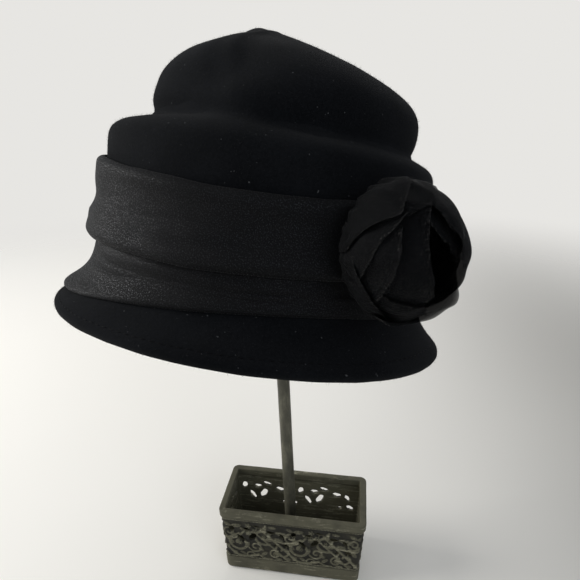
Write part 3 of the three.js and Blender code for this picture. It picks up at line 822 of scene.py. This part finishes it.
relief_leaves = table("along up long wide turn", [
    (0.91, 0.78, 0.270, 0.120, -14),
    (0.16, 0.90, 0.200, 0.100, 10),
    (0.62, 0.90, 0.130, 0.080, 70),
    (0.05, 0.46, 0.170, 0.090, 130),
    (0.52, 0.46, 0.150, 0.080, 110),
    (0.33, 0.40, 0.140, 0.080, 80),
    (0.60, 0.18, 0.150, 0.080, 40),
    (0.98, 0.10, 0.160, 0.080, -10),
    (0.24, 0.14, 0.140, 0.070, 150),
    (0.70, 0.58, 0.130, 0.070, 20),
    (0.12, 0.64, 0.180, 0.100, -30),
    (0.84, 0.62, 0.170, 0.090, 165),
    (0.44, 0.10, 0.160, 0.080, 15),
    (0.84, 0.06, 0.150, 0.070, 5),
    (0.02, 0.92, 0.150, 0.080, 150),
    (0.74, 0.94, 0.150, 0.070, 175),
    (0.55, 0.30, 0.120, 0.080, -40),
    (0.10, 0.12, 0.130, 0.070, 60),
])
flower_heads = table("along up radius petals", [
    (0.36, 0.92, 2.6, 5),
    (0.46, 0.78, 2.9, 6),
    (0.35, 0.70, 2.3, 5),
    (0.78, 0.20, 2.4, 6),
    (0.20, 0.42, 2.3, 6),
    (0.60, 0.66, 1.9, 5),
])
scroll_tall = 0.95
stem_tall = 1.0
leaf_tall = 0.85
flower_tall = 1.1
motifs_on_wall = 3
rail_rows = 3
frieze_fade = 1.6
gap_margin = 2.5


def rib_height(x, z, points, wide, tall):
    """A round rib with a groove along its crown, its height falling off away from a line."""
    nearest = np.full(x.shape, 99.0)
    for (ax, az), (bx, bz) in zip(points[:-1], points[1:]):
        dx, dz = bx - ax, bz - az
        share = np.clip(((x - ax) * dx + (z - az) * dz) / (dx * dx + dz * dz + 1e-9), 0, 1)
        nearest = np.minimum(nearest, np.hypot(x - ax - share * dx, z - az - share * dz))
    crown = np.sqrt(np.clip(1 - (nearest / wide) ** 2, 0, 1))
    return tall * crown * (1 - 0.35 * np.exp(-(nearest / (0.28 * wide)) ** 2))


def scroll_line(item):
    share = np.linspace(0, 1, 22)
    radius = (item["from"] + (item["to"] - item["from"]) * share) * motif_pitch
    turn = math.radians(item["start"]) + 2 * math.pi * item["turns"] * share
    return np.column_stack((radius * np.cos(turn), radius * np.sin(turn)))


def stem_line(item):
    share = np.linspace(0, 1, 12)[:, None]
    size = np.array((motif_pitch, frieze_span))
    first, middle, last = (np.array(item[key]) * size for key in ("from", "bend", "to"))
    return (1 - share) ** 2 * first + 2 * share * (1 - share) * middle + share ** 2 * last


def leaf_height(x, z, item, tall):
    turn = math.radians(item["turn"])
    p = (x * math.cos(turn) + z * math.sin(turn)) / (item["long"] * motif_pitch / 2)
    q = (z * math.cos(turn) - x * math.sin(turn)) / (item["wide"] * motif_pitch / 2)
    edge = np.clip(1 - p ** 2, 0, 1) ** 0.8 * (1 + 0.10 * np.sin(p * 14))
    share = np.abs(q) / np.maximum(edge, 0.05)
    swell_up = np.sqrt(np.clip(1 - share ** 2, 0, 1)) * (np.abs(p) < 1)
    vein = 0.45 * np.exp(-(q / 0.16) ** 2) + 0.18 * np.maximum(np.sin(p * 11 - np.abs(q) * 5), 0)
    return tall * swell_up * (1 - vein)


def flower_height(x, z, item, tall):
    radius, turn = np.hypot(x, z), np.arctan2(z, x)
    lobe = np.abs(np.cos(turn * item["petals"] / 2))
    edge = item["radius"] * (0.62 + 0.38 * lobe)
    dome = np.sqrt(np.clip(1 - (radius / edge) ** 2, 0, 1)) * (0.55 + 0.45 * lobe)
    ring = 1 - 0.7 * np.exp(-((radius - 0.32 * item["radius"]) / (0.10 * item["radius"])) ** 2)
    eye = np.sqrt(np.clip(1 - (radius / (0.26 * item["radius"])) ** 2, 0, 1))
    return tall * np.maximum(dome * ring, eye)


def gap_outline(item):
    """A leaf-shaped gap's outline, its corners cut round."""
    ring = np.array([[-1, 0], [-0.2, -1], [0.9, -0.5], [0.8, 0.6], [-0.4, 0.9]]) * 1.05
    for cut in (0.16, 0.22):
        after = np.roll(ring, -1, axis=0)
        ring = np.stack((ring * (1 - cut) + after * cut, ring * cut + after * (1 - cut)), 1)
        ring = ring.reshape(-1, 2)
    ring = ring * np.array((item["long"], item["wide"])) * motif_pitch / 2
    turn = math.radians(item["turn"])
    return ring @ np.array([[math.cos(turn), math.sin(turn)], [-math.sin(turn), math.cos(turn)]])


def every_motif(items, half, margin):
    """Each item of the motif with its middle on a wall, left out where it would pass the end."""
    for index in range(motifs_on_wall):
        for item in items:
            x = -half + tray_corner + (item["along"] + index) * motif_pitch
            if abs(x) <= half - tray_corner - margin:
                yield item, x, frieze_low + item["up"] * frieze_span


frieze_grid = tray_grid[front_start:front_start + frieze_rows + 1]
wall_x = along_wall(frieze_grid)
wall_z = frieze_grid[:, :, 2]
relief = np.zeros(wall_x.shape)
for long_wall, half in ((True, tray_half[0]), (False, tray_half[1])):
    side = on_long == long_wall
    x, z = wall_x[:, side], wall_z[:, side]
    most = np.zeros(x.shape)
    for item, at_x, at_z in every_motif(scroll_ribs, half, -tray_corner):
        rib = rib_height(x - at_x, z - at_z, scroll_line(item), item["wide"], scroll_tall)
        most = np.maximum(most, rib)
    for item, at_x, at_z in every_motif(relief_leaves, half, -tray_corner):
        most = np.maximum(most, leaf_height(x - at_x, z - at_z, item, leaf_tall))
    for item, at_x, at_z in every_motif(flower_heads, half, 0):
        most = np.maximum(most, flower_height(x - at_x, z - at_z, item, flower_tall))
    for index in range(-1, motifs_on_wall):
        for item in stem_ribs:
            line = stem_line(item) + (-half + tray_corner + index * motif_pitch, frieze_low)
            most = np.maximum(most, rib_height(x, z, line, item["wide"], stem_tall))
    relief[:, side] = most
edge_fade = np.clip((np.radians(45) - np.abs(past_corner)) / np.radians(18), 0, 1)
ends_fade = np.clip(np.minimum(wall_z - frieze_low, frieze_high - wall_z) / frieze_fade, 0, 1)
relief = relief * edge_fade * ends_fade

# The cells inside a gap's outline are left out, and each corner's way to the outline is kept
cell_x = (wall_x[1:] + wall_x[:-1]) / 2
cell_x = (cell_x + np.roll(cell_x, -1, axis=1)) / 2
cell_z = (wall_z[1:] + wall_z[:-1]) / 2
is_straight = (past_corner == 0) & (np.roll(past_corner, -1) == 0)
pierced = np.zeros(cell_x.shape, bool)
wall_at = np.stack((wall_x, wall_z), -1)
snapped = wall_at.copy()
snap_gap = np.full(wall_x.shape, 9.0)
for long_wall, half in ((True, tray_half[0]), (False, tray_half[1])):
    side = np.where((on_long == long_wall) & is_straight)[0]
    for item, at_x, at_z in every_motif(gap_leaves, half, gap_margin):
        ring = gap_outline(item) + (at_x, at_z)
        ahead = np.roll(ring, -1, axis=0) - ring
        normal = np.column_stack((ahead[:, 1], -ahead[:, 0]))
        normal /= np.linalg.norm(normal, axis=1, keepdims=True)
        away = ((cell_x[:, side, None] - ring[:, 0]) * normal[:, 0]
                + (cell_z[:, side, None] - ring[:, 1]) * normal[:, 1]).max(-1)
        pierced[:, side] |= away < 0
        away = ((wall_x[:, side, None] - ring[:, 0]) * normal[:, 0]
                + (wall_z[:, side, None] - ring[:, 1]) * normal[:, 1])
        plane, away = away.argmax(-1), away.max(-1)
        better = np.abs(away) < np.abs(snap_gap[:, side])
        moved = wall_at[:, side] - normal[plane] * away[..., None]
        snapped[:, side] = np.where(better[..., None], moved, snapped[:, side])
        snap_gap[:, side] = np.where(better, away, snap_gap[:, side])
pierced[:rail_rows] = False
pierced[-rail_rows:] = False

# No two gaps touch at a corner alone, and no metal is left loose inside a gap
for _ in range(3):
    across = np.roll(pierced, -1, axis=1)
    touch = pierced[:-1] & across[1:] & ~across[:-1] & ~pierced[1:]
    pierced[:-1][touch] = False
    across = np.roll(pierced, -1, axis=1)
    touch = pierced[1:] & across[:-1] & ~across[1:] & ~pierced[:-1]
    pierced[1:][touch] = False
held_cells = np.zeros(pierced.shape, bool)
grown = np.zeros(pierced.shape, bool)
grown[0] = True
while (grown != held_cells).any():
    held_cells = grown.copy()
    grown[1:] |= held_cells[:-1]
    grown[:-1] |= held_cells[1:]
    grown |= np.roll(held_cells, 1, axis=1) | np.roll(held_cells, -1, axis=1)
    grown &= ~pierced
pierced = ~held_cells

# The corners on the border between gaps and metal are moved onto the gaps' outlines
some = np.zeros(wall_x.shape, bool)
every = np.ones(wall_x.shape, bool)
for down in (0, 1):
    for left in (0, 1):
        near = np.roll(pierced, left, axis=1)
        some[down:down + frieze_rows] |= near
        every[down:down + frieze_rows] &= near
every[0] = every[-1] = False
snap_reach = 1.2 * cell
on_edge = some & ~every & (np.abs(snap_gap) < snap_reach)
shift = np.where(on_edge[..., None], snapped - wall_at, 0)
step = np.stack((np.where(on_long, shift[..., 0], 0), np.where(on_long, 0, shift[..., 0]),
                 shift[..., 1]), -1)
outward = np.stack((np.cos(np.radians(columns[:, 2])), np.sin(np.radians(columns[:, 2])),
                    0 * columns[:, 2]), -1)
ground_deep = 0.30
ground = ground_deep * edge_fade * ends_fade
front = slice(front_start, front_start + frieze_rows + 1)
back = slice(back_start, back_start + frieze_rows + 1)
tray_grid[front] += step + outward * (relief - ground)[..., None]
tray_grid[back] += step[::-1]

# Faces over the outside and the inside, and through the wall along the sides of each gap
rows, around = tray_grid.shape[:2]
kept = np.ones((rows - 1, around), bool)
kept[front_start:front_start + frieze_rows] = ~pierced
kept[back_start:back_start + frieze_rows] = ~pierced[::-1]
number = np.arange(rows * around).reshape(rows, around)
beside = np.roll(number, -1, axis=1)
tray_faces = np.stack((number[:-1], beside[:-1], beside[1:], number[1:]), -1)[kept].tolist()
front_ids, back_ids = number[front], number[back][::-1]
front_next, back_next = np.roll(front_ids, -1, axis=1), np.roll(back_ids, -1, axis=1)
sideways = pierced != np.roll(pierced, 1, axis=1)
for row, column in np.argwhere(sideways):
    tray_faces.append([front_ids[row, column], front_ids[row + 1, column],
                       back_ids[row + 1, column], back_ids[row, column]])
for row, column in np.argwhere(pierced[1:] != pierced[:-1]):
    tray_faces.append([front_ids[row + 1, column], front_next[row + 1, column],
                       back_next[row + 1, column], back_ids[row + 1, column]])
tray_faces.append(number[0][::-1].tolist())
tray_faces.append(number[-1].tolist())

# How high each place stands, for the finish: 0 in the dark ground, 1 on the worn crowns
foot_shows = 0.55
inside_shows = 0.62
rim_shows = 0.56
under_rim_shows = 0.25
shown_relief = np.full((rows, around), foot_shows)
shown_relief[front] = np.clip((relief - ground + 0.35) / 1.3, 0, 1)
shown_relief[back_start - 2:] = inside_shows
rim_rows = (section[:, 0] > frieze_high + 1.2) & (section[:, 1] < rim_width - 0.2)
shown_relief[rim_rows] = rim_shows
shown_relief[front.stop:front.stop + 2] = under_rim_shows
tray_mesh = bpy.data.meshes.new("stand_tray_cast")
tray_mesh.from_pydata((tray_grid.reshape(-1, 3) * MM).tolist(), [], tray_faces)
mark(tray_mesh, "relief", shown_relief.ravel())
tray_work = bmesh.new()
tray_work.from_mesh(tray_mesh)
loose = [corner for corner in tray_work.verts if not corner.link_faces]
bmesh.ops.delete(tray_work, geom=loose, context="VERTS")
bmesh.ops.recalc_face_normals(tray_work, faces=tray_work.faces)
tray_work.to_mesh(tray_mesh)
tray_work.free()
tray_at = read_points(tray_mesh)
dents = swell(tray_at, 0.009, 41, 0.10) + swell(tray_at, 0.0025, 42, 0.05)
foot_stays_flat = np.clip(tray_at[:, 2] / (4.0 * MM), 0, 1)
push_out(tray_mesh, dents * foot_stays_flat)

metal = Paint("patinated_casting", Specular_IOR_Level=0.36)
metal_cloud = metal.cloud(0.012, 4.0, 0.6)
metal_fine = metal.cloud(0.0012, 3.0, 0.6)
metal_streak = metal.cloud(0.003, 3.0, 0.6, metal.place((0.22, 0.22, 1.8)))
metal_high = metal.named("relief")
metal_raised = metal.step(metal_high + metal_cloud * 0.5 - 0.25, 0.16, 0.90)
metal_tone = metal.blend(metal_raised, (0.010, 0.0095, 0.006), (0.150, 0.143, 0.094))
metal_tone = metal.blend(metal.step(metal_cloud, 0.45, 0.75) * 0.45, metal_tone,
                         (0.058, 0.054, 0.034))
metal_rubbed = metal_streak * 0.6 + metal_fine * 0.15 + metal_high * 0.35
metal_worn = metal.step(metal_rubbed, 0.60, 0.72)
metal.wear(
    Base_Color=metal.blend(metal_worn * 0.62, metal_tone, (0.36, 0.345, 0.25)),
    Metallic=0.15 + metal_worn * 0.35,
    Roughness=0.66 - metal_worn * 0.20,
    Normal=metal.bump(metal_fine * 0.6 + metal_streak * 0.4, 0.00025))
tray_mesh.materials.append(metal.material)
show("stand_tray_cast", tray_mesh, "stand_tray")

bead_pitch = 1.02 * MM
bead_shows = 0.9
for line, level, bead in (("upper", frieze_high - 0.75, 0.85), ("lower", frieze_low + 0.65, 0.80)):
    bead_path = tray_points(np.array([level]), np.array([face_inset]), columns)[0] * MM
    bead_mesh = row_of(f"beaded_line_{line}", bead_path, metal.material,
                       Pitch=bead_pitch, Length=bead * MM, Width=bead * MM, Height=bead * MM)
    mark(bead_mesh, "relief", bead_shows)
    show(f"beaded_line_{line}", bead_mesh)


# Rod, socket and cap
# A plain drawn rod leans a little as it stands in a round socket on the tray's floor. The low
# round cap on its top carries the crown from inside.
rod_foot = Vector((-1.8, 0, 0)) * MM
rod_lean = math.radians(2.5)
rod_way = Vector((-math.sin(rod_lean), 0, math.cos(rod_lean)))
rod_radius = 4.2 * MM
rod_edge = 0.4 * MM
rod_along = (read_points(nodes["stand_rod"].data) - np.array(rod_foot)) @ np.array(rod_way)
rod_start, rod_end = rod_along.min(), rod_along.max()
sides = 48


def turned(profile, closed):
    """Points round an upright axis for each radius and height, and the faces between them."""
    points = []
    faces = []
    for radius, height in profile:
        for index in range(sides):
            angle = 2 * math.pi * index / sides
            points.append(Vector((radius * math.cos(angle), radius * math.sin(angle), height)))
    for ring in range(len(profile) if closed else len(profile) - 1):
        above = (ring + 1) % len(profile)
        for index in range(sides):
            after = (index + 1) % sides
            faces.append((ring * sides + index, ring * sides + after,
                          above * sides + after, above * sides + index))
    return points, faces


rod_profile = [(rod_radius - rod_edge, rod_start), (rod_radius, rod_start + rod_edge)]
rod_levels = np.linspace(rod_start + 2 * rod_edge, rod_end - rod_edge, 90)
rod_profile += [(rod_radius, level) for level in rod_levels]
rod_profile += [(rod_radius - rod_edge, rod_end)]
rod_points, rod_faces = turned(rod_profile, False)
for ring, height in ((0, rod_start), (len(rod_profile) - 1, rod_end)):
    rod_points.append(Vector((0, 0, height)))
    for index in range(sides):
        rim = (ring * sides + index, ring * sides + (index + 1) % sides)
        rod_faces.append((len(rod_points) - 1,) + (rim[::-1] if ring == 0 else rim))
rod_turn = rod_way.to_track_quat("Z", "Y").to_matrix()
rod_mesh = bpy.data.meshes.new("stand_rod_drawn")
rod_mesh.from_pydata([rod_foot + rod_turn @ point for point in rod_points], [], rod_faces)
push_out(rod_mesh, swell(read_points(rod_mesh), 0.010, 51, 0.09))
drawn = Paint("patinated_rod", Specular_IOR_Level=0.5)
rod_cloud = drawn.cloud(0.010, 4.0, 0.6, drawn.place((1, 1, 0.35)))
rod_fine = drawn.cloud(0.0009, 3.0, 0.6, drawn.place((1, 1, 0.25)))
rod_worn = drawn.step(rod_cloud * 0.6 + rod_fine * 0.4, 0.50, 0.66)
rod_tone = drawn.blend(drawn.step(rod_cloud, 0.35, 0.65), (0.045, 0.044, 0.031),
                       (0.105, 0.101, 0.074))
drawn.wear(
    Base_Color=drawn.blend(rod_worn * 0.5, rod_tone, (0.20, 0.193, 0.145)),
    Metallic=0.25 + rod_worn * 0.3,
    Roughness=0.50 - rod_worn * 0.12,
    Normal=drawn.bump(rod_fine, 0.00012))
rod_mesh.materials.append(drawn.material)
show("stand_rod_drawn", rod_mesh, "stand_rod")

socket_radius = 8 * MM
socket_top = (floor_level + 3) * MM
socket_round = 0.6 * MM
socket_hole = rod_radius + 0.3 * MM
socket_foot = (floor_level - 0.3) * MM
socket_profile = [
    (socket_hole, socket_foot), (socket_radius, socket_foot),
    (socket_radius, socket_top - socket_round),
    (socket_radius - 0.3 * socket_round, socket_top - 0.3 * socket_round),
    (socket_radius - socket_round, socket_top), (socket_hole + socket_round, socket_top),
    (socket_hole, socket_top - socket_round)]
socket_points, socket_faces = turned(socket_profile, True)
socket_middle = rod_foot - Vector((0.2 * MM, 0, 0))
socket_mesh = bpy.data.meshes.new("rod_socket_cast")
socket_mesh.from_pydata([socket_middle + point for point in socket_points], [], socket_faces)
socket_mesh.materials.append(metal.material)
mark(socket_mesh, "relief", 0.45)
show("rod_socket_cast", socket_mesh)

nodes["stand_cap"].data.materials.clear()
nodes["stand_cap"].data.materials.append(drawn.material)
